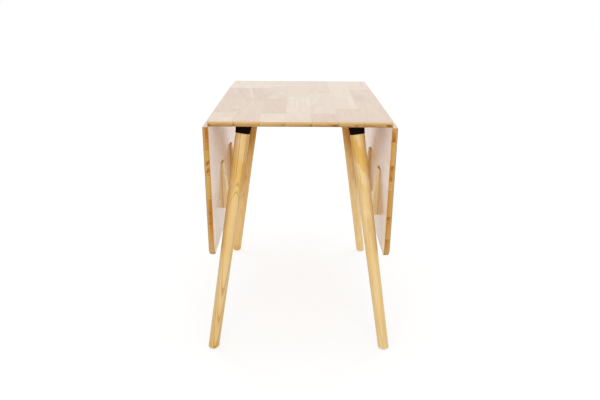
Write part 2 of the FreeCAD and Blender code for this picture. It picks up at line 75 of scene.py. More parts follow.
class Graph:
    """Adds nodes to one node tree; sockets and plain numbers are both taken as inputs."""

    def __init__(self, tree):
        self.tree = tree

    def put(self, socket, value):
        if isinstance(value, bpy.types.NodeSocket):
            self.tree.links.new(value, socket)
        else:
            socket.default_value = value

    def node(self, kind, inputs=None, **settings):
        made = self.tree.nodes.new(kind)
        for name, value in settings.items():
            setattr(made, name, value)
        for name, value in (inputs or {}).items():
            self.put(made.inputs[name], value)
        return made

    def math(self, operation, *values, clamp=False):
        made = self.node("ShaderNodeMath", operation=operation, use_clamp=clamp)
        for i, value in enumerate(values):
            self.put(made.inputs[i], value)
        return made.outputs[0]

    def add(self, a, b):
        return self.math("ADD", a, b)

    def times(self, a, b):
        return self.math("MULTIPLY", a, b)

    def clamped(self, value):
        """Value held between 0 and 1."""
        return self.math("ADD", value, 0.0, clamp=True)

    def step(self, value, edge):
        return self.math("GREATER_THAN", value, edge)

    def length(self, a, b):
        return self.math("SQRT", self.add(self.times(a, a), self.times(b, b)))

    def total(self, values):
        result = values[0]
        for value in values[1:]:
            result = self.add(result, value)
        return result

    def smooth(self, value, low, high, to_low=0.0, to_high=1.0):
        made = self.node("ShaderNodeMapRange", interpolation_type="SMOOTHSTEP")
        for name, v in (("Value", value), ("From Min", low), ("From Max", high),
                        ("To Min", to_low), ("To Max", to_high)):
            self.put(made.inputs[name], v)
        return made.outputs["Result"]

    def vector(self, x, y, z):
        return self.node("ShaderNodeCombineXYZ", {"X": x, "Y": y, "Z": z}).outputs[0]

    def noise(self, values, kind):
        """Noise of one kind at three values."""
        place = self.vector(*[self.times(value, rate) for value, rate in zip(values, kind.rates)])
        made = self.node("ShaderNodeTexNoise", {"Vector": place, "Scale": 1.0, "Detail": kind.detail,
                                                "Roughness": kind.roughness})
        return made.outputs["Fac"]

    def noise_line(self, w, scale, detail, roughness):
        """Noise along a single value."""
        made = self.node("ShaderNodeTexNoise", noise_dimensions="1D")
        for name, value in (("W", w), ("Scale", scale), ("Detail", detail), ("Roughness", roughness)):
            self.put(made.inputs[name], value)
        return made.outputs["Fac"]

    def random(self, a, b):
        """Three random numbers from 0 to 1 that belong to a pair of values."""
        made = self.node("ShaderNodeTexWhiteNoise", {"Vector": self.vector(a, b, 0.0)}, noise_dimensions="2D")
        parts = self.node("ShaderNodeSeparateColor", {"Color": made.outputs["Color"]})
        return parts.outputs[0], parts.outputs[1], parts.outputs[2]

    def mix(self, factor, a, b, blend="MIX"):
        """Mixed colour; a Mix node's colour sockets are its inputs 6 and 7 and its output 2."""
        made = self.node("ShaderNodeMix", data_type="RGBA", blend_type=blend)
        self.put(made.inputs[0], factor)
        self.put(made.inputs[6], a)
        self.put(made.inputs[7], b)
        return made.outputs[2]

    def ramp(self, factor, stops):
        made = self.node("ShaderNodeValToRGB", {"Fac": factor})
        elements = made.color_ramp.elements
        while len(elements) < len(stops):
            elements.new(0.5)
        for element, (place, colour) in zip(elements, stops):
            element.position = place
            element.color = colour
        return made.outputs["Color"]

    def coordinates(self):
        """Object-space position in mm, as three sockets."""
        place = self.node("ShaderNodeTexCoord").outputs["Object"]
        scaled = self.node("ShaderNodeVectorMath", operation="SCALE")
        self.put(scaled.inputs[0], place)
        self.put(scaled.inputs["Scale"], 1 / MM)
        parts = self.node("ShaderNodeSeparateXYZ", {"Vector": scaled.outputs[0]})
        return parts.outputs[0], parts.outputs[1], parts.outputs[2]

    def normal(self):
        """Object-space normal, as three sockets."""
        facing = self.node("ShaderNodeTexCoord").outputs["Normal"]
        parts = self.node("ShaderNodeSeparateXYZ", {"Vector": facing})
        return parts.outputs[0], parts.outputs[1], parts.outputs[2]

    def bump(self, height, strength, distance):
        made = self.node("ShaderNodeBump", {"Height": height, "Strength": strength, "Distance": distance})
        return made.outputs["Normal"]


def new_material(name):
    material = bpy.data.materials.new(name)
    material.use_nodes = True
    tree = material.node_tree
    tree.nodes.clear()
    g = Graph(tree)
    shader = g.node("ShaderNodeBsdfPrincipled")
    output = g.node("ShaderNodeOutputMaterial")
    tree.links.new(shader.outputs[0], output.inputs["Surface"])
    return material, g, shader


def dress(node, material):
    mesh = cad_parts[node].data
    mesh.materials.clear()
    mesh.materials.append(material)


# ---- grain and lacquer ----------------------------------------------------
BLOCK_THROW = 900.0             # mm that one block's figure is thrown aside from another's
# These change across, along and through the grain, per mm.
SLOW_NOISE = Noise((0.012, 0.0028, 0.012), 2.0, 0.5)
FIBRE_NOISE = Noise((0.9, 0.02, 0.9), 4.0, 0.6)
PORE_NOISE = Noise((2.6, 0.09, 2.6), 2.0, 0.6)
RING_NOISE = (3.0, 0.55)        # detail and roughness
PORE_RANGE = (0.60, 0.72)       # of the pore noise, from no pore to a full one
PITH_ASIDE = 90.0               # mm over which the ring centres of the blocks are spread
PITH_BELOW = (30.0, 70.0)       # mm from the block to its ring centre: least, and spread
PITH_LEAN = 0.09                # spread of how much the rings' axis leans along a block
RING_WANDER = 46.0              # mm

LACQUER_IOR = 1.45
LACQUER_ROUGHNESS = 0.17
ROUGHNESS_SPREAD = 0.10
WOOD_SPECULAR = 0.3
FIBRE_RELIEF = 0.5
PORE_RELIEF = 0.6
WOOD_BUMP = (0.2, 0.0003)       # strength, and depth in m


def centred(g, value, size):
    """Value from 0 to 1 turned into one from -size/2 to size/2."""
    return g.times(g.math("SUBTRACT", value, 0.5), size)


def grain(g, across, along, depth, seeds, ring_gap):
    """Growth rings, fibres and pores of one block of wood; seeds are three random numbers."""
    thrown = [g.add(value, g.times(seed, BLOCK_THROW)) for value, seed in zip((across, along, depth), seeds)]
    slow = g.noise(thrown, SLOW_NOISE)
    pith_across = centred(g, seeds[0], PITH_ASIDE)
    pith_depth = g.add(PITH_BELOW[0], g.times(seeds[1], PITH_BELOW[1]))
    off_across = g.math("SUBTRACT", across, pith_across)
    off_depth = g.total([depth, pith_depth, g.times(along, centred(g, seeds[2], PITH_LEAN))])
    radius = g.length(off_across, off_depth)
    rings = g.noise_line(g.add(radius, centred(g, slow, RING_WANDER)), 1.0 / ring_gap, *RING_NOISE)
    return rings, g.noise(thrown, FIBRE_NOISE), g.smooth(g.noise(thrown, PORE_NOISE), *PORE_RANGE)


def lacquer(g, shader, fibre, pores, seam=None):
    """Satin lacquer over the open grain."""
    shader.inputs["IOR"].default_value = LACQUER_IOR
    smoothest = LACQUER_ROUGHNESS - ROUGHNESS_SPREAD / 2
    g.put(shader.inputs["Roughness"], g.add(smoothest, g.times(fibre, ROUGHNESS_SPREAD)))
    height = g.math("SUBTRACT", g.times(fibre, FIBRE_RELIEF), g.times(pores, PORE_RELIEF))
    if seam is not None:
        height = g.math("SUBTRACT", height, seam)
    g.put(shader.inputs["Normal"], g.bump(height, *WOOD_BUMP))


# Soft oval patch of figure: its middle, half sizes (mm), how much it leans, and its change of tone.
Patch = namedtuple("Patch", "across along half_across half_along lean change")
PATCH_EDGE = (0.2, 1.2)         # where a patch fades out, in half sizes


def patch(g, across, along, place):
    """Soft oval change of tone."""
    past = g.math("SUBTRACT", along, place.along)
    beside = g.total([across, g.times(past, place.lean), -place.across])
    reach = g.length(g.times(beside, 1 / place.half_across), g.times(past, 1 / place.half_along))
    return g.smooth(reach, *PATCH_EDGE, place.change, 0.0)


# ---- boards ---------------------------------------------------------------
# Tones of the boards from 0 to 1: on the upper face, the under face and the end grain. The under
# face tones are the upper face wood made warmer, with less blue: painted warm bounce light.
FACE_TONES = ((0.0, srgb(216, 187, 163)), (0.35, srgb(224, 198, 174)), (0.7, srgb(231, 210, 188)),
              (1.0, srgb(237, 221, 203)))
UNDER_BOUNCE_TONES = ((0.0, srgb(220, 187, 158)), (0.35, srgb(227, 196, 167)), (0.7, srgb(232, 207, 181)),
               (1.0, srgb(238, 219, 196)))
TOP_END_TONES = ((0.0, srgb(132, 80, 16)), (0.35, srgb(154, 108, 46)), (0.7, srgb(174, 135, 76)),
                 (1.0, srgb(184, 151, 96)))
LEAF_END_TONES = ((0.0, srgb(152, 86, 2)), (0.35, srgb(166, 106, 20)), (0.7, srgb(180, 131, 50)),
                  (1.0, srgb(190, 148, 78)))
# Where the end grain pales towards the upper face, partly paler grain by the upper rounding and
# partly a painted highlight where that edge catches the light: from and to which height (mm), by how
# much and to what colour.
TOP_END_EDGE_AND_HIGHLIGHT = (6.5, 12.3, 0.86, srgb(197, 166, 122))
LEAF_END_EDGE_AND_HIGHLIGHT = (8.5, 14.0, 0.85, srgb(178, 144, 100))
# The end grain's lower rounding: its colours, its share, and the heights between which it fades (mm).
TOP_UNDER_EDGE = srgb(146, 108, 64)
LEAF_UNDER_EDGE = srgb(186, 138, 80)
UNDER_EDGE_SHARE = 0.75
UNDER_EDGE_FADE = (0.3, 3.2)
# The leaves' free edge, which faces the floor and is darkened with painted shade: its colour, its
# share, and how far a normal has to face outwards.
FREE_EDGE_SHADE_COLOUR = srgb(150, 112, 70)
FREE_EDGE_SHARE = 0.90
FREE_EDGE_FACING = (0.32, 0.80)
FREE_EDGE_TURN = 0.5            # how much of the roundings' turn counts towards it
END_FACING = (0.60, 0.95)       # how far a normal has to face along the board for end grain
UNDERRUN = 0.58                 # how far the end grain runs over the lower rounding

BLOCK_SEED_RATE = 7.0
BOARD_RING_GAP = 5.0            # mm
FIGURE_LEAN = 0.12              # mm across per mm along
# These change across and along a board per mm, and from stave to stave.
BAND_NOISE = Noise((0.075, 0.006, 3.7), 2.0, 0.5)
LINE_NOISE = Noise((0.24, 0.010, 5.3), 3.0, 0.65)
BLUSH_NOISE = Noise((0.05, 0.012, 2.1), 3.0, 0.6)
BAND_RANGE = (0.42, 0.62)
BLUSH_RANGE = (0.40, 0.62)
# How much each kind of figure changes the tone, on the faces and in the end grain, and how much
# painted shade darkens the end grain low down.
RING_TONE = 0.44
FIBRE_TONE = 0.44
LINE_TONE = 0.50
BAND_TONE = -0.28
END_RING_TONE = 0.75
END_FIBRE_TONE = 0.2
END_LOW_SHADE = -0.12            # painted shade below, fading out between these heights (mm)
END_LOW_SHADE_FADE = (1.0, 9.0)

YELLOW_TINT = (1.0, 0.99, 0.94, 1.0)
KNOT_COLOUR = srgb(186, 144, 112)
KNOT_RANGE = (-0.05, -0.90)     # tones below 0 that show it
KNOT_SHARE = 0.60
PORE_COLOUR = srgb(190, 156, 126)
PORE_SHARE = 0.3
GLUE_HALF_WIDTH = 0.35          # mm
FINGER_DEPTH = 9.0              # mm, finger joints between the blocks of one stave
FINGER_PITCH = 4.5              # mm
SEAM_COLOUR = srgb(168, 128, 92)
SEAM_SHARE = 0.12
BUTT_STRENGTH = 0.8             # of a block joint, against 1 for a glue line between staves
END_SEAM_COLOUR = srgb(104, 62, 24)
END_SEAM_SHARE = 0.6

# One stave: its width, the places of its block joints (mm), each block's face tone and strength
# of dark streaks, and the tone of its front end grain at its two edges.
Stave = namedtuple("Stave", "width joints tones streaks end_tones")

TOP_STAVES = (
    Stave(73.5, (-273, -180, -27, 207), (0.62, 0.28, 0.22, 0.05, 0.66), (0.5, 0.4, 0.3, 1.0, 0.3),
          (0.52, 0.60)),
    Stave(75.5, (-80, 207), (0.36, 0.14, 0.68), (0.3, 1.0, 0.3), (0.66, 0.66)),
    Stave(72.5, (-287, -67, 240), (0.74, 0.16, 0.34, 0.60), (0.1, 0.4, 0.5, 0.2), (0.92, 0.64)),
    Stave(76.5, (-333, 10), (0.62, 0.70, 0.52), (0.2, 0.2, 0.2), (0.84, 0.56)),
    Stave(77.0, (-283, 87), (0.20, 0.62, 0.36), (0.6, 0.2, 0.2), (0.80, 0.36)),
    Stave(72.5, (-203, 43), (0.32, 0.66, 0.68), (0.4, 0.1, 0.1), (0.78, 0.56)),
    Stave(82.5, (-83, 180), (0.34, 0.28, 0.64), (0.3, 0.6, 0.6), (0.46, 0.72)),
)
LEFT_STAVES = (
    Stave(68.0, (-150, 160), (0.50, 0.62, 0.40), (0.3, 0.2, 0.4), (0.30, 0.62)),
    Stave(76.0, (-260, 20), (0.40, 0.55, 0.30), (0.2, 0.4, 0.3), (0.84, 0.70)),
    Stave(76.0, (-90, 240), (0.60, 0.35, 0.72), (0.3, 0.5, 0.1), (0.96, 0.92)),
    Stave(77.0, (-310, -20), (0.32, 0.66, 0.50), (0.4, 0.2, 0.3), (0.64, 0.34)),
    Stave(79.0, (-180, 140), (0.66, 0.40, 0.60), (0.2, 0.4, 0.2), (0.46, 0.98)),
    Stave(40.0, (-60, 240), (0.45, 0.72, 0.50), (0.3, 0.1, 0.3), (1.04, 1.14)),
)
RIGHT_STAVES = (
    Stave(41.0, (-210, 90), (0.56, 0.40, 0.66), (0.2, 0.4, 0.2), (0.86, -0.04)),
    Stave(72.0, (-120, 200), (0.35, 0.64, 0.50), (0.4, 0.2, 0.3), (0.84, 0.88)),
    Stave(76.0, (-290, -20), (0.66, 0.42, 0.58), (0.1, 0.4, 0.2), (0.40, 1.04)),
    Stave(82.0, (-170, 140), (0.48, 0.74, 0.34), (0.3, 0.1, 0.5), (0.76, 0.70)),
    Stave(73.0, (-250, 80), (0.28, 0.50, 0.64), (0.5, 0.3, 0.2), (0.40, 1.04)),
    Stave(70.0, (-100, 180), (0.58, 0.34, 0.50), (0.2, 0.4, 0.3), (0.36, 1.02)),
)

TOP_PATCHES = (
    # first stave: leaning dark flames with pale lines between them, knot and blotches in front
    Patch(-218, 135, 9, 80, 0.15, -0.46), Patch(-203, 70, 8, 100, 0.15, -0.36),
    Patch(-230, 105, 3, 120, 0.15, 0.60), Patch(-200, 200, 8, 60, 0.15, 0.24),
    Patch(-205, -240, 12, 20, 0.0, -0.55), Patch(-225, -327, 8, 16, 0.0, -0.24),
    Patch(-213, -380, 20, 16, 0.0, 0.25), Patch(-205, -193, 14, 22, 0.0, 0.22),
    # second stave
    Patch(-176, 105, 3.6, 170, 0.12, 0.75), Patch(-165, 113, 8, 110, 0.13, -0.50),
    Patch(-143, 113, 7, 100, 0.13, -0.42), Patch(-120, 173, 2.2, 66, 0.0, 0.35),
    # third stave: pale diagonal, and the dark knot line across it
    Patch(-101, 87, 14, 66, -0.25, -0.24), Patch(-71, 67, 13, 115, -0.22, 0.16),
    Patch(-95, -58, 22, 11, 0.0, -1.1), Patch(-61, -57, 20, 8, 0.0, -0.7),
    Patch(-112, -42, 6, 12, 0.0, -0.40), Patch(-81, -200, 2.2, 74, -0.2, -0.22),
    # fourth stave: pale flecks and a pale right edge
    Patch(29, -80, 4, 110, 0.0, 0.60), Patch(-26, -10, 12, 22, 0.0, 0.36),
    Patch(-11, -133, 4, 80, 0.0, 0.45), Patch(-26, -107, 3, 80, 0.0, 0.42),
    Patch(9, -70, 3, 80, 0.05, 0.42),
    # fifth stave
    Patch(98, -347, 5, 50, 0.0, -0.40), Patch(37, -233, 5, 100, 0.0, -0.34),
    Patch(79, 113, 18, 44, 0.0, -0.18),
    # sixth stave
    Patch(168, -80, 10, 110, 0.0, 0.32), Patch(134, -267, 3, 95, 0.0, -0.28),
    Patch(154, -293, 3, 85, -0.05, -0.24),
    # seventh stave: dark flame leaning the other way, dark streaks along the right edge
    Patch(203, -13, 24, 90, -0.16, -0.42), Patch(241, 300, 6, 115, -0.05, -0.48),
    Patch(251, 133, 8, 84, 0.0, -0.28), Patch(253, -200, 6, 44, 0.0, -0.38),
    Patch(243, -247, 4, 30, 0.0, -0.24), Patch(256, -300, 4, 74, 0.0, -0.22),
    Patch(258, 100, 4, 38, 0.0, 0.32),
)
# Figure in the front end grain: distance from the first stave's edge and height over the underside.
# The first two, dark spots at the lower corners by the leaves, are painted shadow of the gap there.
TOP_END_PATCHES = (
    Patch(3, 2, 7, 6, 0.0, -1.0), Patch(519, 5, 9, 7, 0.3, -1.1), Patch(75, 8, 5, 6, 0.0, -0.5),
    Patch(215, 9, 5, 6, 0.0, -0.4), Patch(295, 5, 6, 6, 0.0, -0.3), Patch(365, 3, 8, 6, 0.0, -0.4),
    Patch(425, 3, 8, 7, 0.0, -0.3),
)
# The same for the leaves, from their hinge edge and over their inner face.
LEFT_END_PATCHES = (
    Patch(109, 9, 7, 30, -0.75, -0.85), Patch(118, 9, 2.4, 30, -0.75, 0.45),
    # Patch(20, 4, ...) darkens the top of the left leaf's end by its inner face: painted shadow under the top
    # board's corner.
    Patch(131, 9, 6, 30, -0.75, -0.60), Patch(20, 4, 26, 6, 0.0, -0.25),
    Patch(262, 8, 9, 30, 0.2, -0.25), Patch(230, 2, 60, 5, 0.0, -0.2),
)
RIGHT_END_PATCHES = (
    Patch(36, 6, 8, 12, 0.4, -0.35), Patch(118, 9, 9, 12, 0.5, -0.30),
    Patch(152, 6, 14, 5, -0.3, -0.55), Patch(166, 11, 2.6, 16, -0.5, 0.40),
    Patch(276, 9, 6, 20, 0.0, -0.30), Patch(330, 6, 20, 5, 0.2, -0.2),
)

# A board. axes: which of (x, y, z), with what sign, run across, along and up through it. start and
# under: where its first stave and its underside begin (mm). lean: how its underside drifts across
# it. staves, patches and end_patches: its staves and the figure on its faces and in its end grain;
# a few end patches are painted shadow. seed: which random blocks it gets. shift: change of its face
# tone. overrun: how far the face grain runs over the upper rounding (below zero, the end grain
# does). end_tones, end_edge, under_edge and free_edge: the colours of its end
# grain, of that grain's upper edge (paler grain with a painted highlight) and lower edge, and of its
# free edge (painted shade).
Board = namedtuple("Board", "axes start under lean staves patches end_patches seed shift overrun "
                            "end_tones end_edge under_edge free_edge")
LEAF_TOP_Z = 731.0              # mm, the hinge edge of a hanging leaf
LEAF_UNDER_X = 263.0            # mm, its inner face, at that edge
LEAF_LEAN = math.tan(math.radians(0.5))


def leaf_board(side, staves, end_patches, seed):
    return Board(axes=((2, -1), (1, 1), (0, SIGNS[side])), start=-LEAF_TOP_Z, under=LEAF_UNDER_X,
                 lean=LEAF_LEAN, staves=staves, patches=(), end_patches=end_patches, seed=seed,
                 shift=-0.10, overrun=-0.50, end_tones=LEAF_END_TONES, end_edge=LEAF_END_EDGE_AND_HIGHLIGHT,
                 under_edge=LEAF_UNDER_EDGE, free_edge=FREE_EDGE_SHADE_COLOUR)


BOARDS = {
    "top_board": Board(axes=((0, 1), (1, 1), (2, 1)), start=-265.0, under=732.0, lean=0.0,
                       staves=TOP_STAVES, patches=TOP_PATCHES, end_patches=TOP_END_PATCHES, seed=3.0,
                       shift=0.06, overrun=0.17, end_tones=TOP_END_TONES, end_edge=TOP_END_EDGE_AND_HIGHLIGHT,
                       under_edge=TOP_UNDER_EDGE, free_edge=None),
    "leaf_left": leaf_board("left", LEFT_STAVES, LEFT_END_PATCHES, 11.0),
    "leaf_right": leaf_board("right", RIGHT_STAVES, RIGHT_END_PATCHES, 23.0),
}
# What the stave layout of a board gives at each point: the stave's index, its face tone, streak
# strength and end tone, and the distances to the nearest glue line and block joint.
Layout = namedtuple("Layout", "index tone streak end_tone glue_gap joint_gap")


def stave_layout(g, across, along, depth, staves, start):
    """Layout of a board made of staves side by side from start."""
    fingers = g.math("PINGPONG", depth, FINGER_PITCH / 2)
    jointed = g.add(along, g.times(fingers, 2 * FINGER_DEPTH / FINGER_PITCH))
    edge = start
    inside = [g.step(across, edge)]
    glue_gap = None
    tones, streaks, ends, joints = [], [], [], []
    for stave in staves:
        low_edge = edge
        edge += stave.width
        past = g.step(across, edge)
        here = g.math("SUBTRACT", inside[-1], past)
        inside.append(past)
        gap = g.math("ABSOLUTE", g.math("SUBTRACT", across, edge))
        glue_gap = gap if glue_gap is None else g.math("MINIMUM", glue_gap, gap)
        tone, streak, near_joint = stave.tones[0], stave.streaks[0], None
        for k, place in enumerate(stave.joints):
            beyond = g.step(jointed, place)
            tone = g.add(g.times(beyond, stave.tones[k + 1] - stave.tones[k]), tone)
            streak = g.add(g.times(beyond, stave.streaks[k + 1] - stave.streaks[k]), streak)
            gap = g.math("ABSOLUTE", g.math("SUBTRACT", jointed, place))
            near_joint = gap if near_joint is None else g.math("MINIMUM", near_joint, gap)
        share = g.times(g.math("SUBTRACT", across, low_edge), 1 / stave.width)
        end = g.add(g.times(share, stave.end_tones[1] - stave.end_tones[0]), stave.end_tones[0])
        tones.append(g.times(here, tone))
        streaks.append(g.times(here, streak))
        ends.append(g.times(here, end))
        joints.append(g.times(here, near_joint))
    return Layout(*[g.total(values) for values in (inside, tones, streaks, ends)], glue_gap, g.total(joints))


def face_wood(g, board, across, along, layout, figure, facing_up):
    """Colour of a board's upper and under faces."""
    rings, fibre, pores = figure
    place = (g.add(across, g.times(along, FIGURE_LEAN)), along, layout.index)
    dark_bands = g.times(g.smooth(g.noise(place, BAND_NOISE), *BAND_RANGE), layout.streak)
    lines = g.noise(place, LINE_NOISE)
    parts = [layout.tone, centred(g, rings, RING_TONE), centred(g, fibre, FIBRE_TONE),
             centred(g, lines, LINE_TONE), g.times(dark_bands, BAND_TONE), board.shift]
    parts += [patch(g, across, along, spot) for spot in board.patches]
    shade = g.total(parts)
    tone = g.clamped(shade)
    # Under faces take the warmer tones with painted warm bounce light.
    face = g.mix(g.step(facing_up, 0.0), g.ramp(tone, UNDER_BOUNCE_TONES), g.ramp(tone, FACE_TONES))
    face = g.mix(g.smooth(shade, *KNOT_RANGE, 0.0, KNOT_SHARE), face, KNOT_COLOUR)
    blush = g.smooth(g.noise(place, BLUSH_NOISE), *BLUSH_RANGE)
    face = g.mix(blush, face, YELLOW_TINT, "MULTIPLY")
    return g.mix(g.times(pores, PORE_SHARE), face, PORE_COLOUR)


def end_wood(g, board, across, depth, layout, figure, seam):
    """Colour of a board's end grain, with its upper and lower edges: a painted highlight towards the upper
    face, and painted shade low down.
    """
    rings, fibre, _ = figure
    rise = g.total([depth, g.times(across, board.lean), -board.under - board.lean * board.start])
    # The end grain darkens towards its lower edge with painted shade.
    parts = [layout.end_tone, centred(g, rings, END_RING_TONE), centred(g, fibre, END_FIBRE_TONE),
             g.smooth(rise, *END_LOW_SHADE_FADE, END_LOW_SHADE, 0.0)]
    from_start = g.add(across, -board.start)
    parts += [patch(g, from_start, rise, spot) for spot in board.end_patches]
    end = g.ramp(g.clamped(g.total(parts)), board.end_tones)
    # The end grain pales towards the upper face: paler grain, with a painted highlight.
    low, high, share, colour = board.end_edge
    end = g.mix(g.smooth(rise, low, high, 0.0, share), end, colour)
    end = g.mix(g.smooth(rise, *UNDER_EDGE_FADE, UNDER_EDGE_SHARE, 0.0), end, board.under_edge)
    return g.mix(g.times(seam, END_SEAM_SHARE), end, END_SEAM_COLOUR)


def stave_wood(name, board):
    """Glued-up board of lacquered staves, with end grain on its two ends."""
    material, g, shader = new_material(name)
    xyz = g.coordinates()
    across, along, depth = [g.times(xyz[i], sign) for i, sign in board.axes]
    layout = stave_layout(g, across, along, depth, board.staves, board.start)
    seeds = g.random(g.add(layout.index, board.seed), g.times(layout.tone, BLOCK_SEED_RATE))
    figure = grain(g, across, along, depth, seeds, BOARD_RING_GAP)
    normals = g.normal()
    facing_out, facing_along, facing_up = [g.times(normals[i], sign) for i, sign in board.axes]

    seam = g.smooth(layout.glue_gap, GLUE_HALF_WIDTH, 2 * GLUE_HALF_WIDTH, 1.0, 0.0)
    butt = g.smooth(layout.joint_gap, GLUE_HALF_WIDTH, 2 * GLUE_HALF_WIDTH, BUTT_STRENGTH, 0.0)
    face = face_wood(g, board, across, along, layout, figure, facing_up)
    face = g.mix(g.times(g.math("MAXIMUM", seam, butt), SEAM_SHARE), face, SEAM_COLOUR)
    end = end_wood(g, board, across, depth, layout, figure, seam)

    # The end grain runs over the lower rounding, and over the upper one where overrun is below zero.
    turned = g.math("MAXIMUM", g.times(facing_up, -board.overrun), g.times(facing_up, -UNDERRUN))
    end_share = g.smooth(g.add(g.math("ABSOLUTE", facing_along), turned), *END_FACING)
    wood = g.mix(end_share, face, end)
    # The leaves' free edge faces the floor: painted shade darkens it.
    if board.free_edge is not None:
        outwards = g.add(facing_out, g.times(turned, FREE_EDGE_TURN))
        wood = g.mix(g.smooth(outwards, *FREE_EDGE_FACING, 0.0, FREE_EDGE_SHARE), wood, board.free_edge)
    g.put(shader.inputs["Base Color"], wood)
    _, fibre, pores = figure
    lacquer(g, shader, fibre, pores, seam)
    shader.inputs["Specular IOR Level"].default_value = WOOD_SPECULAR
    return material


def dress_boards():
    for node, board in BOARDS.items():
        dress(node, stave_wood(f"{node}_wood", board))


# ---- legs -----------------------------------------------------------------
SEAT = Vector((0.1685, 0.277, 0.732))       # m, where the rear right leg's axis meets the underside
FLOOR_POINT = Vector((0.277, 0.390, 0.0))   # m, and the floor

# Growth layers of a leg: how deep they dip from their crest towards its two ends (mm), between
# which places below the seat they fall upwards and downwards (mm), their spacing, offset and
# outermost visible one (mm), how much they wander (mm), the strength of their dark lines, how
# golden the wood is, how much painted shade darkens its lower part, how far its crest turns to the
# right, which random grain it gets, and its patches of paler or more golden wood.
Figure = namedtuple("Figure", "dip above below gap offset outermost drift strength warmth dull aside seed "
                              "patches")
LEG_FIGURES = {
    ("front", "left"): Figure(
        dip=14.0, above=(300.0, 169.0), below=(231.0, 948.0), gap=3.6, offset=1.29, outermost=14.3,
        drift=1.2, strength=1.0, warmth=0.36, dull=0.30, aside=0.30, seed=31.0, patches=(
            Patch(14, 66, 12, 30, 0.0, -0.35), Patch(-16, 185, 9, 75, 0.0, 0.6),
            Patch(0, 115, 60, 28, 0.0, -0.14), Patch(-3, 160, 36, 62, 0.30, 0.46),
            Patch(0, 520, 60, 80, 0.0, -0.18), Patch(0, 735, 60, 24, 0.0, 0.45))),
    ("front", "right"): Figure(
        dip=9.0, above=(560.0, 60.0), below=(620.0, 1100.0), gap=4.6, offset=1.9, outermost=99.0,
        drift=2.4, strength=0.3, warmth=0.20, dull=0.10, aside=0.0, seed=32.0, patches=(
            Patch(1, 66, 11, 34, 0.0, -0.30), Patch(17, 72, 9, 40, 0.0, 0.75),
            Patch(-18, 60, 8, 60, 0.0, 0.6), Patch(17, 24, 8, 26, 0.0, 0.6),
            Patch(4, 108, 28, 62, 0.35, 0.66), Patch(2, 161, 5, 36, 0.54, -0.60),
            Patch(-4, 186, 16, 40, 0.3, -0.30), Patch(10, 190, 7, 40, 0.2, 0.35),
            Patch(0, 290, 12, 22, 0.2, -0.3))),
    # The rear legs' broad upper patches turn their tops browner: golden wood, partly painted shade under the
    # table.
    ("rear", "left"): Figure(
        dip=14.0, above=(240.0, 0.0), below=(260.0, 640.0), gap=3.6, offset=0.4, outermost=99.0,
        drift=3.0, strength=0.4, warmth=0.50, dull=0.0, aside=0.0, seed=35.0, patches=(
            Patch(0, 70, 60, 230, 0.0, 0.75), Patch(0, 738, 60, 24, 0.0, 0.18))),
    ("rear", "right"): Figure(
        dip=12.0, above=(510.0, 40.0), below=(530.0, 900.0), gap=3.9, offset=2.2, outermost=99.0,
        drift=3.0, strength=0.3, warmth=0.22, dull=0.0, aside=0.0, seed=36.0, patches=(
            Patch(0, 70, 60, 230, 0.0, 0.95),)),
}
LEG_RING_GAP = 9.0              # mm
# The rear legs' tones hold painted light and shade: their light end is paler than the front legs', painted
# light for legs further in the shade, and their dark end browner, painted shade for their shaded tops.
LEG_TONES = {
    "front": ((0.0, srgb(223, 197, 146)), (0.5, srgb(214, 179, 112)), (1.0, srgb(212, 171, 84))),
    "rear": ((0.0, srgb(240, 210, 156)), (0.5, srgb(226, 188, 122)), (1.0, srgb(194, 140, 56))),
}
LEG_LINE = srgb(176, 126, 60)
# Painted shade: a leg's lower part darkens towards this colour, between these distances below the seat.
LEG_LOWER_SHADE = srgb(194, 164, 116)
LOWER_SHADE_FROM = (360.0, 540.0)      # mm below the seat
# A growth layer's line: over which share of the layer it darkens, and then ends.
LINE_RISE = (0.50, 0.90)
LINE_FALL = (0.91, 1.0)
LINE_LEAST = 0.25
LAYER_FADE = 0.4                # mm
# These change across and along a leg, per mm, and from leg to leg.
DRIFT_NOISE = Noise((0.02, 0.006, 1.0), 2.0, 0.5)
CLOUD_NOISE = Noise((0.03, 0.008, 1.0), 3.0, 0.5)
WANDER_NOISE = Noise((0.09, 0.03, 1.0), 3.0, 0.6)
CLOUD_DEPTH_RATE = 0.03         # of the clouds through the leg, per mm
WANDER_SEED = 5.0               # added to the leg's seed
UNEVEN_NOISE = (0.8, 2.0, 0.5)  # rate per growth layer, detail and roughness
PATCH_WANDER = (16.0, 70.0)     # mm that a patch's edge wanders, across and along
# How much each kind of figure changes a leg's tone.
LEG_CLOUD_TONE = 0.35
LEG_RING_TONE = 0.3
LEG_FIBRE_TONE = 0.35
LEG_PORE_SHARE = 0.25


def along_axes(g, origin, axis, facing):
    """Position in mm beside, along and towards facing, from origin, for a grain axis."""
    facing = (facing - axis * facing.dot(axis)).normalized()
    shifted = g.node("ShaderNodeVectorMath", operation="SUBTRACT")
    g.put(shifted.inputs[0], g.vector(*g.coordinates()))
    g.put(shifted.inputs[1], origin)
    parts = []
    for direction in (axis.cross(facing), axis, facing):
        dot = g.node("ShaderNodeVectorMath", operation="DOT_PRODUCT")
        g.put(dot.inputs[0], shifted.outputs[0])
        g.put(dot.inputs[1], direction)
        parts.append(dot.outputs["Value"])
    return parts


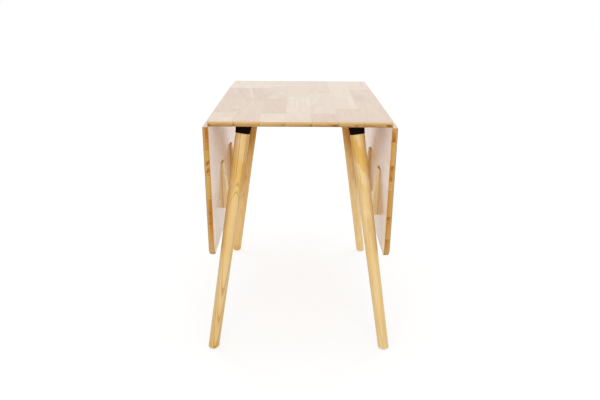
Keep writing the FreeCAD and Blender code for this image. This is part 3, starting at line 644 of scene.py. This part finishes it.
def growth_lines(g, figure, across, along, depth):
    """Dark lines of a leg's bowed growth layers, which close into long ovals where they graze it."""
    drift = g.noise((across, along, figure.seed), DRIFT_NOISE)
    upwards = g.smooth(along, figure.above[1], figure.above[0], -figure.dip, 0.0)
    downwards = g.smooth(along, figure.below[0], figure.below[1], 0.0, -figure.dip)
    layer = g.total([depth, upwards, downwards, centred(g, drift, figure.drift), figure.offset])
    count = g.times(layer, 1 / figure.gap)
    turn = g.math("FRACT", count)
    late = g.math("SUBTRACT", g.smooth(turn, *LINE_RISE), g.smooth(turn, *LINE_FALL))
    shown = g.smooth(layer, figure.outermost, figure.outermost + LAYER_FADE, 1.0, 0.0)
    uneven = g.noise_line(count, *UNEVEN_NOISE)
    return g.times(g.times(late, shown), g.times(g.add(uneven, LINE_LEAST), figure.strength))


def leg_wood(end, side):
    """Turned leg with growth lines, clouds, golden or pale patches, and painted shade on its lower part."""
    figure = LEG_FIGURES[end, side]
    material, g, shader = new_material(f"leg_wood_{end}_{side}")
    corner = Vector((SIGNS[side], SIGNS[end], 1))
    seat = SEAT * corner
    axis = (FLOOR_POINT * corner - seat).normalized()
    outwards = Vector((figure.aside, corner.y, 0))
    across, along, depth = along_axes(g, seat / MM, axis, outwards)
    seeds = g.random(figure.seed, figure.seed + 1.0)
    rings, fibre, pores = grain(g, across, along, depth, seeds, LEG_RING_GAP)

    cloud_depth = g.add(g.times(depth, CLOUD_DEPTH_RATE), figure.seed)
    cloud = g.noise((across, along, cloud_depth), CLOUD_NOISE)
    wander = g.noise((across, along, figure.seed + WANDER_SEED), WANDER_NOISE)
    beside = g.add(across, centred(g, wander, PATCH_WANDER[0]))
    below = g.add(along, centred(g, wander, PATCH_WANDER[1]))
    parts = [figure.warmth, centred(g, cloud, LEG_CLOUD_TONE), centred(g, rings, LEG_RING_TONE),
             centred(g, fibre, LEG_FIBRE_TONE)]
    parts += [patch(g, beside, below, spot) for spot in figure.patches]
    colour = g.ramp(g.clamped(g.total(parts)), LEG_TONES[end])
    # Painted shade darkens the lower part of the leg.
    colour = g.mix(g.smooth(along, *LOWER_SHADE_FROM, 0.0, figure.dull), colour, LEG_LOWER_SHADE)
    colour = g.mix(growth_lines(g, figure, across, along, depth), colour, LEG_LINE)
    colour = g.mix(g.times(pores, LEG_PORE_SHARE), colour, LEG_LINE)
    g.put(shader.inputs["Base Color"], colour)
    lacquer(g, shader, fibre, pores)
    shader.inputs["Specular IOR Level"].default_value = WOOD_SPECULAR
    return material


def dress_legs():
    for end, side in LEG_FIGURES:
        dress(f"leg_{end}_{side}", leg_wood(end, side))


# ---- bars, guides and wedge blocks ----------------------------------------
PLAIN_RING_TONE = 0.9
PLAIN_FIBRE_TONE = 0.4
PLAIN_PORE_SHARE = 0.35
BAR_WOOD = (srgb(230, 196, 142), srgb(206, 162, 104), 5.0, 41.0)     # light, dark, ring gap, seed
GUIDE_WOOD = (srgb(224, 192, 144), srgb(196, 154, 102), 4.0, 53.0)
# The front blocks' wood is painted light, paler than the real wood to stand out in the shade under the top;
# the rear blocks' wood is painted shade, darker and browner.
WEDGE_WOODS_LIT_AND_SHADED = {"front": (srgb(255, 236, 186), srgb(255, 224, 160), 6.0, 47.0),
               "rear": (srgb(220, 178, 106), srgb(198, 150, 78), 6.0, 47.0)}
# Colour along the line where a block meets the leaf: partly glue, partly painted contact shadow.
WEDGE_GLUE_AND_SHADE = srgb(200, 138, 72)
WEDGE_CONTACT_SHARE = 0.45
WEDGE_CONTACT_FADE = (-3.2, -0.8)       # mm from the leaf, on the block's side
WEDGE_SPECULAR = 0.5
WEDGE_ROUGHNESS = (-20.0, 0.0, 0.42, 0.50)  # between these distances (mm), from and to


def plain_wood(name, axis, light, dark, ring_gap, seed):
    """Solid wood whose grain runs along axis, a unit vector at right angles to y."""
    material, g, shader = new_material(name)
    across, along, depth = along_axes(g, Vector((0, 0, 0)), axis, Vector((0, SIGNS["front"], 0)))
    rings, fibre, pores = grain(g, across, along, depth, g.random(seed, seed + 1.0), ring_gap)
    shade = g.clamped(g.add(g.times(rings, PLAIN_RING_TONE), centred(g, fibre, PLAIN_FIBRE_TONE)))
    colour = g.mix(shade, dark, light)
    g.put(shader.inputs["Base Color"], g.mix(g.times(pores, PLAIN_PORE_SHARE), colour, dark))
    lacquer(g, shader, fibre, pores)
    return material


def wedge_wood(end):
    """Waxed blocks, darker along the line where they meet the leaf, partly glue and partly painted contact
    shadow; their wood holds painted light on the front blocks and painted shade on the rear ones.
    """
    material = plain_wood(f"wedge_wood_{end}", Vector((0, 0, 1)), *WEDGE_WOODS_LIT_AND_SHADED[end])
    g = Graph(material.node_tree)
    shader = g.tree.nodes["Principled BSDF"]
    x, _, z = g.coordinates()
    leaf_face = LEAF_UNDER_X - LEAF_LEAN * LEAF_TOP_Z
    past_leaf = g.total([g.math("ABSOLUTE", x), g.times(z, -LEAF_LEAN), -leaf_face])
    wood = shader.inputs["Base Color"].links[0].from_socket
    # Darker towards the leaf: partly glue, partly painted contact shadow.
    glue_and_shade = g.smooth(past_leaf, *WEDGE_CONTACT_FADE, 0.0, WEDGE_CONTACT_SHARE)
    g.put(shader.inputs["Base Color"], g.mix(glue_and_shade, wood, WEDGE_GLUE_AND_SHADE))
    shader.inputs["Specular IOR Level"].default_value = WEDGE_SPECULAR
    g.put(shader.inputs["Roughness"], g.smooth(past_leaf, *WEDGE_ROUGHNESS))
    return material


def dress_bars_and_blocks():
    bar_wood = plain_wood("bar_wood", Vector((1, 0, 0)), *BAR_WOOD)
    guide_wood = plain_wood("guide_board_wood", Vector((1, 0, 0)), *GUIDE_WOOD)
    for end in ENDS:
        block_wood = wedge_wood(end)
        dress(f"guide_board_{end}", guide_wood)
        for which in ("outer", "middle", "inner"):
            dress(f"guide_rail_{end}_{which}", bar_wood)
        for side in SIDES:
            dress(f"support_bar_{end}_{side}", bar_wood)
            dress(f"bar_peg_{end}_{side}", bar_wood)
            dress(f"wedge_block_{end}_{side}", block_wood)


# ---- metal and felt -------------------------------------------------------
# These change along x, y and z, per mm; the drawn lines of the steel run along y.
PEEL_NOISE = Noise((1.4, 1.4, 1.4), 3.0, 0.6)
COAT_CLOUD_NOISE = Noise((0.05, 0.05, 0.05), 2.0, 0.5)
STEEL_LINE_NOISE = Noise((3.0, 0.08, 3.0), 3.0, 0.6)
STEEL_CLOUD_NOISE = Noise((0.06, 0.06, 0.06), 3.0, 0.5)
FUZZ_NOISE = Noise((2.2, 2.2, 2.2), 4.0, 0.7)
# The coats of the sockets and of their screws: colour and roughness.
SOCKET_COAT = (srgb(14, 5, 4), 0.55)
SCREW_COAT = (srgb(20, 18, 18), 0.4)
COAT_SPECULAR = 0.03
COAT_CLOUD = srgb(24, 13, 10)
COAT_CLOUD_SHARE = 0.6
COAT_ROUGHNESS_SPREAD = 0.16
COAT_BUMP = (0.3, 0.0003)       # strength, and depth in m
STEEL_TONES = (srgb(176, 178, 182), srgb(206, 206, 204))
STEEL_ROUGHNESS = 0.22
STEEL_LINE_ROUGHNESS = 0.16
STEEL_CLOUD_ROUGHNESS = 0.1
STEEL_BUMP = (0.2, 0.0002)
FELT_TONES = (srgb(196, 188, 176), srgb(232, 226, 216))
FELT_ROUGHNESS = 0.92
FELT_BUMP = (0.6, 0.0006)


def black_coat(name, colour, roughness):
    """Black powder coat with a fine orange peel."""
    material, g, shader = new_material(name)
    shader.inputs["Specular IOR Level"].default_value = COAT_SPECULAR
    place = g.coordinates()
    peel = g.noise(place, PEEL_NOISE)
    cloud = g.noise(place, COAT_CLOUD_NOISE)
    g.put(shader.inputs["Base Color"], g.mix(g.times(cloud, COAT_CLOUD_SHARE), colour, COAT_CLOUD))
    smoothest = roughness - COAT_ROUGHNESS_SPREAD / 2
    g.put(shader.inputs["Roughness"], g.add(smoothest, g.times(peel, COAT_ROUGHNESS_SPREAD)))
    g.put(shader.inputs["Normal"], g.bump(peel, *COAT_BUMP))
    return material


def zinc_steel():
    """Zinc-plated steel with drawn lines and slight clouding."""
    material, g, shader = new_material("zinc_plated_steel")
    place = g.coordinates()
    lines = g.noise(place, STEEL_LINE_NOISE)
    cloud = g.noise(place, STEEL_CLOUD_NOISE)
    g.put(shader.inputs["Base Color"], g.mix(cloud, *STEEL_TONES))
    shader.inputs["Metallic"].default_value = 1.0
    roughness = [STEEL_ROUGHNESS, g.times(lines, STEEL_LINE_ROUGHNESS), g.times(cloud, STEEL_CLOUD_ROUGHNESS)]
    g.put(shader.inputs["Roughness"], g.total(roughness))
    g.put(shader.inputs["Normal"], g.bump(lines, *STEEL_BUMP))
    return material


def pad_felt():
    material, g, shader = new_material("pad_felt")
    fuzz = g.noise(g.coordinates(), FUZZ_NOISE)
    g.put(shader.inputs["Base Color"], g.mix(fuzz, *FELT_TONES))
    shader.inputs["Roughness"].default_value = FELT_ROUGHNESS
    g.put(shader.inputs["Normal"], g.bump(fuzz, *FELT_BUMP))
    return material


def dress_hardware():
    socket_coat = black_coat("socket_coat", *SOCKET_COAT)
    screw_coat = black_coat("screw_coat", *SCREW_COAT)
    steel = zinc_steel()
    felt = pad_felt()
    for end in ENDS:
        for side in SIDES:
            dress(f"leg_socket_{end}_{side}", socket_coat)
            dress(f"foot_pad_{end}_{side}", felt)
            dress(f"hinge_top_plate_{end}_{side}", steel)
            dress(f"hinge_leaf_plate_{end}_{side}", steel)
            dress(f"keeper_strap_{end}_{side}", steel)
    dress("socket_screws", screw_coat)
    for name in ("hinge_pins", "hinge_top_screws", "guide_rail_screws", "keeper_strap_screws", "leg_bolts"):
        dress(name, steel)
    for side in SIDES:
        dress(f"hinge_leaf_screws_{side}", steel)
        dress(f"wedge_screws_{side}", steel)


# ---- studio ---------------------------------------------------------------
WORLD_LIGHT = 0.80
FLOOR_HALF = 6.0                # m
FLOOR_PAINT = 0.88              # how white the floor is for the light that it bounces
SHADOW_SHARE = 0.38             # how much of the shown floor is real light, so keeps the shadow
GLOW_NEAR = 0.65                # what the shown floor adds to that near the table, and far off
GLOW_FAR = 0.78
GLOW_REACH = (900.0, 2400.0)    # mm from the middle
WHITE = grey(1.0)

# A lamp: its place and target (m), its size (m) and its power (W).
Lamp = namedtuple("Lamp", "place target size power")
OVERHEAD_LAMP = Lamp((0.0, 0.1, 2.9), (0, 0, 0.6), 2.0, 4.0)
# These two stand on both sides.
FRONT_LAMP = Lamp((0.8, -3.5, 1.3), (0, 0, 0.5), 1.6, 23.0)
REAR_LAMP = Lamp((2.4, 2.0, 1.0), (0, 0, 0.5), 1.6, 16.0)


def seen_directly(g):
    """1 for rays that show the background itself, in the camera, a gloss or glass."""
    path = g.node("ShaderNodeLightPath")
    shown = g.math("MAXIMUM", path.outputs["Is Camera Ray"], path.outputs["Is Glossy Ray"])
    return g.math("MAXIMUM", shown, path.outputs["Is Transmission Ray"])


def make_world():
    world = bpy.data.worlds.new("studio")
    bpy.context.scene.world = world
    world.use_nodes = True
    world.node_tree.nodes.clear()
    g = Graph(world.node_tree)
    strength = g.smooth(seen_directly(g), 0.0, 1.0, WORLD_LIGHT, 1.0)
    background = g.node("ShaderNodeBackground", {"Color": WHITE, "Strength": strength})
    output = g.node("ShaderNodeOutputWorld")
    g.tree.links.new(background.outputs[0], output.inputs["Surface"])


def make_floor():
    """White floor: it bounces light like paint, and shows white with only the shadow left."""
    mesh = bpy.data.meshes.new("studio_floor")
    h = FLOOR_HALF
    mesh.from_pydata([(-h, -h, 0), (h, -h, 0), (h, h, 0), (-h, h, 0)], [], [(0, 1, 2, 3)])
    floor = bpy.data.objects.new("studio_floor", mesh)
    bpy.context.scene.collection.objects.link(floor)
    material = bpy.data.materials.new("studio_floor")
    material.use_nodes = True
    material.node_tree.nodes.clear()
    g = Graph(material.node_tree)
    x, y, _ = g.coordinates()
    paint = g.node("ShaderNodeBsdfDiffuse", {"Color": grey(FLOOR_PAINT)})
    faint = g.node("ShaderNodeBsdfDiffuse", {"Color": grey(SHADOW_SHARE)})
    whiteness = g.smooth(g.length(x, y), *GLOW_REACH, GLOW_NEAR, GLOW_FAR)
    glow = g.node("ShaderNodeEmission", {"Color": WHITE, "Strength": whiteness})
    shown = g.node("ShaderNodeAddShader")
    g.tree.links.new(faint.outputs[0], shown.inputs[0])
    g.tree.links.new(glow.outputs[0], shown.inputs[1])
    mixed = g.node("ShaderNodeMixShader", {"Fac": seen_directly(g)})
    g.tree.links.new(paint.outputs[0], mixed.inputs[1])
    g.tree.links.new(shown.outputs[0], mixed.inputs[2])
    output = g.node("ShaderNodeOutputMaterial")
    g.tree.links.new(mixed.outputs[0], output.inputs["Surface"])
    mesh.materials.append(material)


def area_lamp(name, lamp, sign=1):
    data = bpy.data.lights.new(name, "AREA")
    data.shape = "DISK"
    data.size = lamp.size
    data.energy = lamp.power
    made = bpy.data.objects.new(name, data)
    place = Vector((lamp.place[0] * sign, lamp.place[1], lamp.place[2]))
    aim = Vector(lamp.target) - place
    made.matrix_world = Matrix.Translation(place) @ aim.to_track_quat("-Z", "Y").to_matrix().to_4x4()
    made.visible_glossy = False     # the lacquer mirrors the white studio, not a round lamp
    bpy.context.scene.collection.objects.link(made)


def light_studio():
    area_lamp("overhead", OVERHEAD_LAMP)
    for sign in (-1, 1):
        area_lamp(f"front_{sign}", FRONT_LAMP, sign)
        area_lamp(f"rear_{sign}", REAR_LAMP, sign)


bpy.context.scene.view_settings.view_transform = "Standard"
make_camera()
make_world()
make_floor()
light_studio()
dress_boards()
dress_legs()
dress_bars_and_blocks()
dress_hardware()
